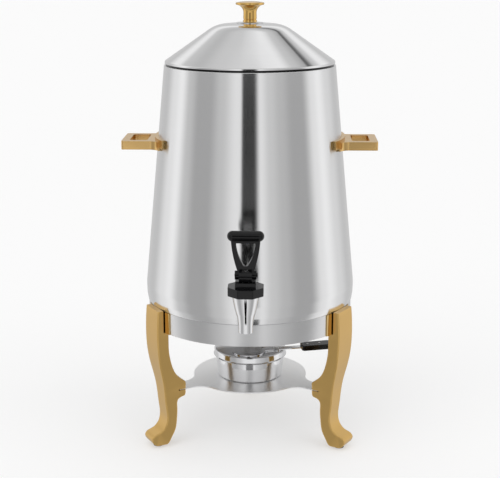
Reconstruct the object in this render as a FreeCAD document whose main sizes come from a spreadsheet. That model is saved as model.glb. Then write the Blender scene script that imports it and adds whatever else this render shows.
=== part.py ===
"""A coffee urn: tapered steel vessel in a three-legged stand, with lid, tap and burner.

Millimetres. The origin is on the floor plane, on the urn's vertical axis. +Z is up,
the tap faces -Y and the handles lie along X. The vessel lifts out of the stand's ring.
"""

import FreeCAD, Part
import math
import os
import Sketcher

# Driving sizes, one cell each. Radii and heights are measured from the vertical axis
# and from the floor unless the name says otherwise.
SIZES = {
    # Vessel
    "vessel_top_z": 500.0,
    "vessel_top_radius": 111.0,
    "vessel_wide_z": 212.0,
    "vessel_wide_radius": 138.8,
    "vessel_seam_radius": 137.0,
    "vessel_wall": 1.2,
    "vessel_lip_width": 2.8,
    "vessel_lip_depth": 3.0,
    "skirt_clearance": 0.9,
    "seam_gap": 0.3,
    "base_thickness": 1.2,
    "base_lip_height": 6.0,
    # Lid
    "lid_rim_inset": 1.0,
    "lid_rim_height": 4.6,
    "lid_cone_top_radius": 52.0,
    "lid_cone_top_z": 545.0,
    "lid_crown_z": 553.4,
    "lid_wall": 1.0,
    "lid_guide_depth": 12.0,
    "lid_guide_clearance": 0.6,
    "knob_height": 25.8,
    "knob_radius": 18.4,
    "knob_neck_radius": 8.7,
    "knob_washer_radius": 17.0,
    "knob_washer_thickness": 0.8,
    # Stand
    "ring_radius": 136.0,
    "ring_wall": 1.5,
    "ring_bottom_z": 162.0,
    "ring_height": 28.5,
    "seat_z": 178.0,
    "seat_thickness": 1.5,
    "seat_inner_radius": 121.0,
    "seat_skirt_depth": 14.0,
    "weld_gap": 0.1,
    "saddle_thickness": 1.2,
    "saddle_angle": 25.0,
    "leg_angle": 60.0,
    "leg_top_width": 38.0,
    "leg_foot_width": 26.0,
    "leg_face_radius": 145.0,
    "leg_ankle_radius": 132.0,
    "leg_toe_radius": 153.5,
    "leg_heel_radius": 117.0,
    "leg_inner_radius": 130.0,
    "leg_edge_radius": 1.6,
    "pad_height": 3.0,
    "pad_radius": 6.5,
    "pad_centre_radius": 139.5,
    "leg_screw_z": 169.5,
    "leg_screw_spread": 18.0,
    "screw_radius": 2.5,
    "screw_hole_play": 0.2,
    "screw_head_radius": 4.4,
    "screw_head_height": 2.6,
    # Burner plate
    "plate_top_z": 78.0,
    "plate_thickness": 1.5,
    "plate_radius": 77.0,
    "arm_width": 24.0,
    "arm_end_radius": 112.0,
    "arm_fillet": 26.0,
    "slot_play": 0.15,
    "slot_depth": 10.5,
    "arm_seat_radius": 104.0,
    "plate_screw_radius": 2.0,
    "plate_screw_place": 108.0,
    # Burner
    "burner_radius": 47.4,
    "burner_foot_radius": 44.0,
    "burner_wall": 1.0,
    "burner_height": 37.0,
    "cover_radius": 48.8,
    "cover_skirt": 9.0,
    "cover_mouth_radius": 19.0,
    "damper_radius": 22.0,
    "damper_thickness": 1.2,
    "damper_pivot_radius": 38.0,
    "damper_pivot_angle": 20.0,
    "damper_open_angle": 35.0,
    "damper_lift": 0.3,
    "tang_width": 10.0,
    "tang_reach": 70.0,
    "grip_width": 17.0,
    "grip_start": 36.0,
    "grip_reach": 78.0,
    "grip_thickness": 3.0,
    "rivet_radius": 2.5,
    "pin_play": 0.06,
    # Handles
    "handle_top_z": 404.5,
    "handle_height": 11.0,
    "handle_length": 44.75,
    "handle_width": 68.0,
    "handle_bar": 10.0,
    "handle_neck": 11.0,
    "handle_foot_angle": 27.5,
    "handle_foot_thickness": 3.6,
    "handle_foot_rise": 4.3,
    "handle_flare_angle": 20.5,
    "handle_corner": 3.5,
    "wall_play": 0.12,
    "handle_screw_angle": 8.0,
    # Tap
    "tap_reach": 182.0,
    "tap_inlet_z": 234.0,
    "tap_outlet_z": 197.0,
    "tap_top_z": 249.6,
    "tap_top_radius": 16.4,
    "tap_waist_radius": 9.6,
    "tap_outlet_radius": 8.8,
    "tap_bore_radius": 6.6,
    "tap_chamber_radius": 12.4,
    "barrel_radius": 9.5,
    "flange_radius": 14.0,
    "flange_thickness": 3.0,
    "flange_gap": 3.2,
    "shank_radius": 7.4,
    "shank_bore": 5.0,
    "nut_width": 26.0,
    "nut_thickness": 6.0,
    "bonnet_radius": 22.4,
    "bonnet_bottom_z": 244.4,
    "bonnet_top_z": 255.2,
    "pedestal_width": 25.0,
    "pedestal_height": 6.3,
    "stem_radius": 3.0,
    "stem_bottom_z": 226.0,
    "pivot_z": 268.4,
    "lever_pin_radius": 1.5,
    "lever_height": 47.6,
    "grip_bar_radius": 6.4,
    "grip_bar_length": 44.0,
    "hub_radius": 6.6,
    "hub_width": 26.0,
    "heel_offset": 8.0,
    "heel_width": 15.6,
    "lever_depth": 7.0,
    "spring_radius": 5.6,
    "spring_wire_radius": 0.8,
    "spring_pitch": 2.9,
}

os.makedirs("parts", exist_ok=True)
doc = FreeCAD.newDocument("coffee_urn")
sheet = doc.addObject("Spreadsheet::Sheet", "dims")
for row, (alias, length) in enumerate(SIZES.items(), 1):
    sheet.set(f"A{row}", alias)
    sheet.set(f"B{row}", str(length))
    sheet.setAlias(f"B{row}", alias)
doc.recompute()


class Size:
    """A length that carries its number and the sheet expression that makes it."""

    def __init__(self, number, text):
        self.number = float(number)
        self.text = text

    @staticmethod
    def of(value):
        return value if isinstance(value, Size) else Size(value, repr(float(value)))

    def __add__(self, other):
        other = Size.of(other)
        return Size(self.number + other.number, f"({self.text} + {other.text})")

    def __sub__(self, other):
        other = Size.of(other)
        return Size(self.number - other.number, f"({self.text} - {other.text})")

    def __mul__(self, other):
        other = Size.of(other)
        return Size(self.number * other.number, f"({self.text} * {other.text})")

    def __truediv__(self, other):
        other = Size.of(other)
        return Size(self.number / other.number, f"({self.text} / {other.text})")

    def __radd__(self, other):
        return Size.of(other) + self

    def __rsub__(self, other):
        return Size.of(other) - self

    def __rmul__(self, other):
        return Size.of(other) * self

    def __neg__(self):
        return Size.of(-1) * self


class Sheet:
    """Gives each cell of the sheet as a Size."""

    def __getattr__(self, alias):
        return Size(sheet.get(alias), f"dims.{alias}")


d = Sheet()


def root(size):
    """Square root of a size."""
    return Size(math.sqrt(size.number), f"sqrt({size.text})")


def sine(angle):
    """Sine of an angle in degrees."""
    angle = Size.of(angle)
    return Size(math.sin(math.radians(angle.number)), f"sin({angle.text} * 1 deg)")


def cosine(angle):
    """Cosine of an angle in degrees."""
    angle = Size.of(angle)
    return Size(math.cos(math.radians(angle.number)), f"cos({angle.text} * 1 deg)")


def vector(x, y, z=0.0):
    """FreeCAD vector of three sizes."""
    return FreeCAD.Vector(Size.of(x).number, Size.of(y).number, Size.of(z).number)


def bind(thing, prop, size):
    """Set a property and bind it to its sheet expression."""
    size = Size.of(size)
    setattr(thing, prop, size.number)
    thing.setExpression(prop, size.text)


def place(thing, x=0.0, y=0.0, z=0.0, axis=(0, 0, 1), angle=0.0):
    """Put a piece at x, y, z, turned about an axis through its own origin."""
    turn = FreeCAD.Rotation(FreeCAD.Vector(*axis), Size.of(angle).number)
    thing.Placement = FreeCAD.Placement(vector(x, y, z), turn)
    return thing


def new_body(name):
    """Empty body with its node name."""
    body = doc.addObject("PartDesign::Body", name)
    body.Label = name
    return body


def plane_of(body, role):
    """One of a body's own origin planes."""
    return next(face for face in body.Origin.OriginFeatures if face.Role == role)


def fix_point(sketch, geometry, end, x, y):
    """Hold a sketch point at x, y from the origin, bound to the sheet."""
    for kind, axis, size in (("DistanceX", -2, Size.of(x)), ("DistanceY", -1, Size.of(y))):
        if abs(size.number) < 1e-9:
            sketch.addConstraint(Sketcher.Constraint("PointOnObject", geometry, end, axis))
            continue
        index = sketch.addConstraint(
            Sketcher.Constraint(kind, -1, 1, geometry, end, size.number))
        if "dims" in size.text:
            sketch.setExpression(f"Constraints[{index}]", size.text)


def end_at(sketch, geometry, point):
    """Which end of an edge, 1 or 2, lies at a point."""
    first = sketch.getPoint(geometry, 1).distanceToPoint(point)
    second = sketch.getPoint(geometry, 2).distanceToPoint(point)
    return 1 if first < second else 2


def add_loop(sketch, outline):
    """Closed outline of corners (x, y); ("by", x, y) bends the edge it follows."""
    corners = [step for step in outline if step[0] != "by"]
    bends = {}
    for step in outline:
        if step[0] == "by":
            bends[len(bends_before(outline, step)) - 1] = step[1:]
    edges = []
    for number, start in enumerate(corners):
        stop = corners[(number + 1) % len(corners)]
        if number in bends:
            middle = vector(*bends[number])
            curve = Part.Arc(vector(*start), middle, vector(*stop))
            edge = sketch.addGeometry(curve, False)
            mark = sketch.addGeometry(Part.Point(middle), True)
            fix_point(sketch, mark, 1, *bends[number])
            sketch.addConstraint(Sketcher.Constraint("PointOnObject", mark, 1, edge))
        else:
            edge = sketch.addGeometry(Part.LineSegment(vector(*start), vector(*stop)), False)
        edges.append(edge)
    for number, start in enumerate(corners):
        edge = edges[number]
        before = edges[number - 1]
        end = end_at(sketch, edge, vector(*start))
        fix_point(sketch, edge, end, *start)
        sketch.addConstraint(Sketcher.Constraint(
            "Coincident", before, end_at(sketch, before, vector(*start)), edge, end))


def bends_before(outline, step):
    """Corners that come before a bend in an outline."""
    return [other for other in outline[:outline.index(step)] if other[0] != "by"]


def add_circle(sketch, x, y, radius):
    """Circle with its centre and radius bound to the sheet."""
    centre = vector(x, y)
    circle = Part.Circle(centre, FreeCAD.Vector(0, 0, 1), Size.of(radius).number)
    edge = sketch.addGeometry(circle, False)
    fix_point(sketch, edge, 3, x, y)
    index = sketch.addConstraint(Sketcher.Constraint("Radius", edge, Size.of(radius).number))
    sketch.setExpression(f"Constraints[{index}]", Size.of(radius).text)


def sketch_on(body, role, loops=(), circles=()):
    """Sketch on one of the body's own planes, with closed loops and circles."""
    sketch = body.newObject("Sketcher::SketchObject", body.Name + "_sketch")
    sketch.AttachmentSupport = [(plane_of(body, role), "")]
    sketch.MapMode = "FlatFace"
    for outline in loops:
        add_loop(sketch, outline)
    for x, y, radius in circles:
        add_circle(sketch, x, y, radius)
    return sketch


def turned(name, outline, angle=360.0, middle=False):
    """Body turned about its own Z axis from an outline of (radius, height)."""
    body = new_body(name)
    add_turn(body, outline, angle, middle)
    return body


def add_turn(body, outline, angle=360.0, middle=False):
    """Revolution of an outline about the body's Z axis."""
    turn = body.newObject("PartDesign::Revolution", body.Name + "_turn")
    turn.Profile = sketch_on(body, "XZ_Plane", [outline])
    turn.ReferenceAxis = (turn.Profile[0], ["V_Axis"])
    turn.Midplane = middle
    bind(turn, "Angle", angle)
    return turn


def cut_turn(body, outline):
    """Groove of an outline about the body's Z axis."""
    groove = body.newObject("PartDesign::Groove", body.Name + "_groove")
    groove.Profile = sketch_on(body, "XZ_Plane", [outline])
    groove.ReferenceAxis = (groove.Profile[0], ["V_Axis"])
    groove.Angle = 360.0
    return groove


def add_pad(body, role, height, loops=(), circles=(), middle=False):
    """Pad of loops and circles on one of the body's planes."""
    pad = body.newObject("PartDesign::Pad", body.Name + "_pad")
    pad.Profile = sketch_on(body, role, loops, circles)
    pad.Midplane = middle
    bind(pad, "Length", height)
    return pad


def rod(body, kind, radius, length, start, axis=(0, 0, 1), angle=0.0):
    """Cylinder feature of a body from a start point, along Z turned about an axis."""
    cylinder = body.newObject(f"PartDesign::{kind}Cylinder", body.Name + "_rod")
    bind(cylinder, "Radius", radius)
    bind(cylinder, "Height", length)
    place(cylinder, *start, axis=axis, angle=angle)
    return cylinder


def block(body, kind, low, high):
    """Box feature of a body from its low corner to its high corner."""
    box = body.newObject(f"PartDesign::{kind}Box", body.Name + "_block")
    for prop, first, last in zip(("Length", "Width", "Height"), low, high):
        bind(box, prop, Size.of(last) - first)
    place(box, *low)
    return box


def ring_outline(inner, outer, bottom, top):
    """Rectangle of a plain ring, or of a disc where the inner radius is 0."""
    return [(inner, bottom), (outer, bottom), (outer, top), (inner, top)]


LEG_TURNS = {"left": -d.leg_angle, "right": d.leg_angle, "rear": Size.of(180.0)}


def leg_turn(side):
    """Turn about Z that takes local +X out along a leg."""
    return LEG_TURNS[side] - 90.0


X_AXIS = (1, 0, 0)
Y_AXIS = (0, 1, 0)
ALONG_X = {"axis": Y_AXIS, "angle": 90.0}
ALONG_MINUS_Y = {"axis": X_AXIS, "angle": 90.0}
ALONG_PLUS_Y = {"axis": X_AXIS, "angle": -90.0}


# Stand ring: a plain rolled steel band with an L-section seat welded inside it.
ring_inner_radius = d.ring_radius - d.ring_wall
ring_top_z = d.ring_bottom_z + d.ring_height
seat_outer_radius = ring_inner_radius - d.weld_gap
seat_bore = seat_outer_radius - d.seat_thickness
leg_screw_hole = d.screw_radius + d.screw_hole_play


def drill_leg_screws(body, start_radius, length, radius):
    """Two radial holes side by side for each of the three legs."""
    for side in LEG_TURNS:
        turn = leg_turn(side).number
        for half in (-0.5, 0.5):
            offset = d.leg_screw_spread.number * half
            radial = FreeCAD.Rotation(FreeCAD.Vector(0, 0, 1), turn)
            start = radial.multVec(FreeCAD.Vector(start_radius.number, offset, 0))
            hole = body.newObject("PartDesign::SubtractiveCylinder", body.Name + "_hole")
            bind(hole, "Radius", radius)
            bind(hole, "Height", length)
            lie_down = FreeCAD.Rotation(FreeCAD.Vector(0, 1, 0), 90)
            start.z = d.leg_screw_z.number
            hole.Placement = FreeCAD.Placement(start, radial.multiply(lie_down))


ring_skirt = turned("ring_skirt", ring_outline(
    ring_inner_radius, d.ring_radius, d.ring_bottom_z, ring_top_z))
drill_leg_screws(ring_skirt, ring_inner_radius - 10, Size.of(20), leg_screw_hole)

seat_ring = turned("seat_ring", [
    (d.seat_inner_radius, d.seat_z - d.seat_thickness),
    (seat_bore, d.seat_z - d.seat_thickness),
    (seat_bore, d.seat_z - d.seat_skirt_depth),
    (seat_outer_radius, d.seat_z - d.seat_skirt_depth),
    (seat_outer_radius, d.seat_z),
    (d.seat_inner_radius, d.seat_z)])
drill_leg_screws(seat_ring, ring_inner_radius - 10, Size.of(20), leg_screw_hole)


# Saddles: polished plates that wrap the ring behind each leg.
saddle_inner_radius = d.ring_radius + d.weld_gap
saddle_outer_radius = saddle_inner_radius + d.saddle_thickness
for side in LEG_TURNS:
    saddle = turned(f"{side}_saddle", ring_outline(
        saddle_inner_radius, saddle_outer_radius, d.ring_bottom_z, ring_top_z),
        d.saddle_angle, middle=True)
    for half in (-0.5, 0.5):
        rod(saddle, "Subtractive", leg_screw_hole, 20,
            (saddle_inner_radius - 10, d.leg_screw_spread * half, d.leg_screw_z), **ALONG_X)
    place(saddle, angle=leg_turn(side))


# Legs: cast with a curled foot, a bulge that holds the plate's arm in a slot, and a
# ledge that carries the ring. The side profile is free-form, so it is a spline.
leg_seat_radius = saddle_outer_radius + d.weld_gap
slot_bottom_z = d.plate_top_z - d.plate_thickness - d.slot_play
slot_height = d.plate_thickness + d.slot_play * 2
slot_end_radius = d.arm_seat_radius + d.slot_depth
pad_inner_edge = d.pad_centre_radius - d.pad_radius - 1.0
leg_screw_bite = Size.of(4.5)
plate_screw_bite = Size.of(5.0)
plate_head_radius = d.plate_screw_radius * 1.8
plate_head_height = Size.of(2.2)
plate_screw_head_z = d.plate_top_z - 10.0


def smooth(points, first=None, last=None):
    """Smooth edge through vectors, with its end directions where they are given."""
    curve = Part.BSplineCurve()
    if first is None:
        curve.interpolate(points)
    else:
        curve.interpolate(Points=points, InitialTangent=FreeCAD.Vector(*first),
                          FinalTangent=FreeCAD.Vector(*last))
    return curve.toShape()


def in_profile(points):
    """Vectors of (radius, height) points in a leg's middle plane."""
    return [FreeCAD.Vector(vector(x, y).x, 0, vector(x, y).y) for x, y in points]


def straight(first, last):
    """Straight edge between two (radius, height) points."""
    return Part.makeLine(*in_profile((first, last)))


def leg_side():
    """Closed side profile of a leg: X outwards from the urn's axis, Z up."""
    face, ankle, toe = d.leg_face_radius, d.leg_ankle_radius, d.leg_toe_radius
    heel, inner, seat = d.leg_heel_radius, d.leg_inner_radius, d.arm_seat_radius
    top, ledge = ring_top_z + 1.0, d.ring_bottom_z
    sole, plate = d.pad_height, d.plate_top_z
    crown = [(leg_seat_radius, top), (face - 0.5, top)]
    outer = [crown[1], (face + 1.2, top - 26), (face + 1.0, ledge - 16),
             (face - 2.4, ledge - 46), (face - 9, plate + 7), (ankle + 0.8, sole + 52),
             (ankle - 0.6, sole + 37), (ankle + 2.6, sole + 25), (toe - 11, sole + 18),
             (toe - 3, sole + 14.8), (toe, sole + 10.5), (toe - 1.6, sole + 5),
             (toe - 8, sole)]
    under = [outer[-1], (pad_inner_edge, sole)]
    instep = [under[1], (heel + 9, sole + 7), (heel + 3, sole + 18), (heel, sole + 34),
              (heel - 0.8, sole + 50), (heel - 2.4, plate - 14), (seat + 5, plate - 11),
              (seat, plate - 5)]
    nose = [instep[-1], (seat, plate + 7)]
    throat = [nose[1], (seat + 4.4, plate + 13), (seat + 13, plate + 21),
              (inner - 6, plate + 34), (inner - 1.2, plate + 52), (inner, ledge - 12)]
    shoulder = [throat[-1], (inner, ledge), (leg_seat_radius, ledge), crown[0]]
    up = (0, 0, 1)
    edges = [straight(*crown), smooth(in_profile(outer), (0.1, 0, -1), (-1, 0, -0.35)),
             straight(*under), smooth(in_profile(instep), (-1, 0, 0.35), up),
             straight(*nose), smooth(in_profile(throat), up, up)]
    edges += [straight(*pair) for pair in zip(shoulder[:-1], shoulder[1:])]
    return Part.Face(Part.Wire(edges))


def leg_front():
    """Front outline of a leg: wide beside the ring, drawn in to the ankle."""
    wide, narrow = d.leg_top_width / 2, d.leg_foot_width / 2
    top, bend, ankle_z = ring_top_z + 1.0, d.ring_bottom_z - 18, d.pad_height + 50
    near = d.arm_seat_radius - 20

    def across(y, z):
        return vector(near, y, z)

    down = (0, 0, -1)
    right = smooth([across(wide, bend), across((wide + narrow * 1.4) / 2.4, (bend + ankle_z) / 2),
                    across(narrow, ankle_z)], down, down)
    left = smooth([across(-narrow, ankle_z),
                   across(-(wide + narrow * 1.4) / 2.4, (bend + ankle_z) / 2),
                   across(-wide, bend)], (0, 0, 1), (0, 0, 1))
    corners = [(-wide, bend), (-wide, top), (wide, top), (wide, bend)]
    upper = [Part.makeLine(across(*one), across(*two)) for one, two in zip(corners, corners[1:])]
    corners = [(narrow, ankle_z), (narrow, 0), (-narrow, 0), (-narrow, ankle_z)]
    lower = [Part.makeLine(across(*one), across(*two)) for one, two in zip(corners, corners[1:])]
    return Part.Face(Part.Wire(upper + [right] + lower + [left]))


def leg_shape():
    """One leg in its own frame: X outwards, Y across, Z up from the floor."""
    span = d.leg_top_width.number + 10
    side = leg_side()
    side.translate(FreeCAD.Vector(0, -span / 2, 0))
    casting = side.extrude(FreeCAD.Vector(0, span, 0))
    front = leg_front().extrude(FreeCAD.Vector(d.leg_toe_radius.number, 0, 0))
    return casting.common(front).Solids[0]


def rounded(shape, radius, wanted):
    """Shape with the edges that pass a test rounded."""
    return shape.makeFillet(radius, [edge for edge in shape.Edges if wanted(edge)])


def side_edge(edge):
    """Tells the long edges between a leg's curved faces and its sides."""
    box = edge.BoundBox
    crosses = box.YMax - box.YMin > d.leg_foot_width.number / 2
    beside_ring = box.ZMin > d.ring_bottom_z.number - 14 and box.XMax < d.leg_face_radius.number - 4
    return not crosses and not beside_ring and box.ZMin < ring_top_z.number


def cylinder_at(radius, length, start, direction):
    """Solid cylinder of sizes, for cutting."""
    return Part.makeCylinder(Size.of(radius).number, Size.of(length).number, start, direction)


def finished_leg():
    """Leg with rounded edges, plate slot and screw holes."""
    leg = rounded(leg_shape(), d.leg_edge_radius.number, side_edge)
    wide = d.leg_top_width.number
    slot = Part.makeBox(d.slot_depth.number + 20, 2 * wide, slot_height.number,
                        vector(slot_end_radius - d.slot_depth - 20, -wide, slot_bottom_z))
    leg = leg.cut(slot)
    outward = FreeCAD.Vector(1, 0, 0)
    for half in (-0.5, 0.5):
        start = vector(leg_seat_radius - 1, d.leg_screw_spread * half, d.leg_screw_z)
        leg = leg.cut(cylinder_at(d.screw_radius + d.pin_play, leg_screw_bite + 1.5,
                                  start, outward))
    upward = FreeCAD.Vector(0, 0, 1)
    below = vector(d.plate_screw_place, 0, plate_screw_head_z - 20)
    leg = leg.cut(cylinder_at(plate_head_radius + d.screw_hole_play, 20 + plate_head_height,
                              below, upward))
    shank_top = d.plate_top_z + plate_screw_bite + 0.5 - plate_screw_head_z
    start = vector(d.plate_screw_place, 0, plate_screw_head_z)
    return leg.cut(cylinder_at(d.plate_screw_radius + d.pin_play, shank_top, start, upward))


leg_solid = finished_leg()
for side in LEG_TURNS:
    leg = doc.addObject("Part::Feature", f"{side}_leg")
    leg.Label = f"{side}_leg"
    leg.Shape = leg_solid
    place(leg, angle=leg_turn(side))


# Fasteners: pan-head screws, each a head and a shank fused, grouped by kind.
def screw(name, radius, head_radius, head_height, length):
    """Screw along +Z with its head's underside at its origin."""
    shank = doc.addObject("Part::Cylinder", name + "_shank")
    bind(shank, "Radius", radius)
    bind(shank, "Height", Size.of(length) + 0.5)
    place(shank, z=-0.5)
    head = doc.addObject("Part::Cylinder", name + "_head")
    bind(head, "Radius", head_radius)
    bind(head, "Height", head_height)
    place(head, z=-Size.of(head_height))
    fused = doc.addObject("Part::Fuse", name)
    fused.Base = head
    fused.Tool = shank
    return fused


def group(name, pieces):
    """Several like solids as one node."""
    compound = doc.addObject("Part::Compound", name)
    compound.Label = name
    compound.Links = pieces
    return compound


def radial_place(thing, turn, radius, offset, height, lean=0.0, along=0.0):
    """Point a piece's +Z outwards at a radius and offset, for a turn about Z.

    A lean tips it up by that angle, and along moves it along its own direction.
    """
    about = FreeCAD.Rotation(FreeCAD.Vector(0, 0, 1), Size.of(turn).number)
    outward = about.multiply(FreeCAD.Rotation(FreeCAD.Vector(0, 1, 0), 90 - Size.of(lean).number))
    start = about.multVec(vector(radius, offset, height)) + outward.multVec(vector(0, 0, along))
    thing.Placement = FreeCAD.Placement(start, outward)
    return thing


screw_seat_radius = seat_bore - 0.7
leg_screw_length = leg_seat_radius + leg_screw_bite - screw_seat_radius
leg_screws = []
for side in LEG_TURNS:
    for half in (-0.5, 0.5):
        piece = screw(f"{side}_leg_screw", d.screw_radius, d.screw_head_radius,
                      d.screw_head_height, leg_screw_length)
        leg_screws.append(radial_place(piece, leg_turn(side), screw_seat_radius,
                                       d.leg_screw_spread * half, d.leg_screw_z))
group("leg_screws", leg_screws)

plate_screws = []
for side in LEG_TURNS:
    length = d.plate_top_z + plate_screw_bite - plate_screw_head_z - plate_head_height
    piece = screw(f"{side}_plate_screw", d.plate_screw_radius, plate_head_radius,
                  plate_head_height, length)
    turn = FreeCAD.Rotation(FreeCAD.Vector(0, 0, 1), leg_turn(side).number)
    place(piece, *turn.multVec(vector(d.plate_screw_place, 0,
                                      plate_screw_head_z + plate_head_height)))
    plate_screws.append(piece)
group("plate_screws", plate_screws)

foot_pads = []
for side in LEG_TURNS:
    pad = doc.addObject("Part::Cylinder", f"{side}_pad")
    bind(pad, "Radius", d.pad_radius)
    bind(pad, "Height", d.pad_height)
    turn = FreeCAD.Rotation(FreeCAD.Vector(0, 0, 1), leg_turn(side).number)
    place(pad, *turn.multVec(vector(d.pad_centre_radius, 0, 0)))
    foot_pads.append(pad)
group("foot_pads", foot_pads)


# Burner plate: a round sheet with three arms that run into the legs' slots.
plate = new_body("burner_plate")
plate_bottom_z = d.plate_top_z - d.plate_thickness
half_arm = d.arm_width / 2
fillet_across = half_arm + d.arm_fillet
fillet_reach = root((d.plate_radius + d.arm_fillet) * (d.plate_radius + d.arm_fillet)
                    - fillet_across * fillet_across)
disc_share = d.plate_radius / (d.plate_radius + d.arm_fillet)


def plate_point(angle, along, across):
    """Point in the plate's plane, along and across a direction from the -Y axis."""
    x = along * sine(angle) + across * cosine(angle)
    y = across * sine(angle) - along * cosine(angle)
    return x, y


def plate_arm(angle, mirrored=1.0):
    """Half of an arm: end corner, fillet start, fillet middle, and fillet end."""
    corner = plate_point(angle, d.arm_end_radius, half_arm * mirrored)
    start = plate_point(angle, fillet_reach, half_arm * mirrored)
    spread = root(fillet_reach * fillet_reach + fillet_across * fillet_across)
    to_disc = (-fillet_reach / spread, -fillet_across / spread)
    bend = (to_disc[0], to_disc[1] - 1.0)
    size = root(bend[0] * bend[0] + bend[1] * bend[1])
    middle = plate_point(angle, fillet_reach + d.arm_fillet * bend[0] / size,
                         (fillet_across + d.arm_fillet * bend[1] / size) * mirrored)
    stop = plate_point(angle, fillet_reach * disc_share, fillet_across * disc_share * mirrored)
    return corner, start, middle, stop


plate_outline = []
arm_angles = [-d.leg_angle, d.leg_angle, Size.of(180.0)]
gaps_between = [Size.of(0.0), (d.leg_angle + 180.0) / 2, -(d.leg_angle + 180.0) / 2]
for angle, gap in zip(arm_angles, gaps_between):
    near = plate_arm(angle, -1.0)
    far = plate_arm(angle, 1.0)
    plate_outline += [near[3], ("by", *near[2]), near[1], near[0], far[0], far[1],
                      ("by", *far[2]), far[3], ("by", *plate_point(gap, d.plate_radius, 0.0))]
plate_sheet = add_pad(plate, "XY_Plane", d.plate_thickness, [plate_outline])
for side in LEG_TURNS:
    turn = FreeCAD.Rotation(FreeCAD.Vector(0, 0, 1), leg_turn(side).number)
    hole_at = turn.multVec(vector(d.plate_screw_place, 0, -1))
    rod(plate, "Subtractive", d.plate_screw_radius + d.screw_hole_play, 10, hole_at)
place(plate, z=plate_bottom_z)


# Burner: a spun cup under a cover with a round mouth and a swinging damper.
cup_top = d.burner_height
burner_cup = turned("burner_cup", [
    (0, 0), (d.burner_foot_radius - 2, 0), ("by", d.burner_foot_radius - 0.59, 0.59),
    (d.burner_foot_radius, 2), (d.burner_radius, cup_top),
    (d.burner_radius - d.burner_wall, cup_top),
    (d.burner_foot_radius - d.burner_wall, 2.4), (d.burner_foot_radius - 2.2, d.burner_wall),
    (0, d.burner_wall)])
place(burner_cup, z=d.plate_top_z)

cover_base_z = d.plate_top_z + cup_top
cover_inner = d.cover_radius - d.burner_wall
cover_bead = Size.of(1.0)
burner_cover = turned("burner_cover", [
    (cover_inner, -d.cover_skirt), (d.cover_radius, -d.cover_skirt),
    (d.cover_radius + cover_bead, cover_bead - d.cover_skirt),
    (d.cover_radius, cover_bead * 2 - d.cover_skirt),
    (d.cover_radius, -1), ("by", d.cover_radius - 0.6, 0.4), (d.cover_radius - 2, d.burner_wall),
    (d.cover_mouth_radius, d.burner_wall), (d.cover_mouth_radius, 0), (cover_inner, 0)])
place(burner_cover, z=cover_base_z)
pivot_turn = -d.damper_pivot_angle
damper_z = cover_base_z + d.burner_wall + d.damper_lift
pivot_x = d.damper_pivot_radius * cosine(pivot_turn)
pivot_y = d.damper_pivot_radius * sine(pivot_turn)
rod(burner_cover, "Subtractive", d.rivet_radius, 10, (pivot_x, pivot_y, -5))

damper_turn = pivot_turn + d.damper_open_angle
damper = new_body("damper")
eye_radius = d.tang_width / 2 + 1.5
add_pad(damper, "XY_Plane", d.damper_thickness, circles=[(-d.damper_pivot_radius, 0, d.damper_radius)])
half_tang = d.tang_width / 2
block(damper, "Additive", (-d.damper_pivot_radius, -half_tang, 0),
      (d.tang_reach, half_tang, d.damper_thickness))
rod(damper, "Additive", eye_radius, d.damper_thickness, (0, 0, 0))
rod(damper, "Subtractive", d.rivet_radius + d.pin_play, 10, (0, 0, -5))
for share in (0.25, 0.75):
    station = d.grip_start + (d.tang_reach - d.grip_start) * share
    rod(damper, "Subtractive", 1.5 + d.pin_play, 10, (station, 0, -5))
place(damper, pivot_x, pivot_y, damper_z, angle=damper_turn)

damper_rivet = turned("damper_rivet", [
    (0, -d.burner_wall - d.damper_lift - 1.2), (4.2, -d.burner_wall - d.damper_lift - 1.2),
    (4.2, -d.burner_wall - d.damper_lift), (d.rivet_radius, -d.burner_wall - d.damper_lift),
    (d.rivet_radius, d.damper_thickness + 0.3), (4.2, d.damper_thickness + 0.3),
    (3.4, d.damper_thickness + 1.3), (0, d.damper_thickness + 1.6)])
place(damper_rivet, pivot_x, pivot_y, damper_z)

grip_half = d.grip_width / 2
for name, base in (("upper_grip", d.damper_thickness), ("lower_grip", -d.grip_thickness)):
    grip = new_body(name)
    corner = Size.of(4.0)
    add_pad(grip, "XY_Plane", d.grip_thickness, [[
        (d.grip_start, 2 - grip_half), (d.grip_start + 2, -grip_half),
        (d.grip_reach - corner, -grip_half),
        ("by", d.grip_reach - corner * 0.293, corner * 0.293 - grip_half),
        (d.grip_reach, corner - grip_half), (d.grip_reach, grip_half - corner),
        ("by", d.grip_reach - corner * 0.293, grip_half - corner * 0.293),
        (d.grip_reach - corner, grip_half), (d.grip_start + 2, grip_half),
        (d.grip_start, grip_half - 2)]])
    for share in (0.25, 0.75):
        station = d.grip_start + (d.tang_reach - d.grip_start) * share
        rod(grip, "Subtractive", 1.5 + d.pin_play, 10, (station, 0, -5))
    place(grip, pivot_x, pivot_y, damper_z + base, angle=damper_turn)

grip_rivets = []
for share in (0.25, 0.75):
    station = d.grip_start + (d.tang_reach - d.grip_start) * share
    piece = doc.addObject("Part::Cylinder", "grip_rivet")
    bind(piece, "Radius", 1.5)
    bind(piece, "Height", d.damper_thickness + d.grip_thickness * 2 + 0.6)
    turn = FreeCAD.Rotation(FreeCAD.Vector(0, 0, 1), damper_turn.number)
    spot = turn.multVec(vector(station, 0, 0)) + vector(
        pivot_x, pivot_y, damper_z - d.grip_thickness - 0.3)
    grip_rivets.append(place(piece, *spot))
group("grip_rivets", grip_rivets)


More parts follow.
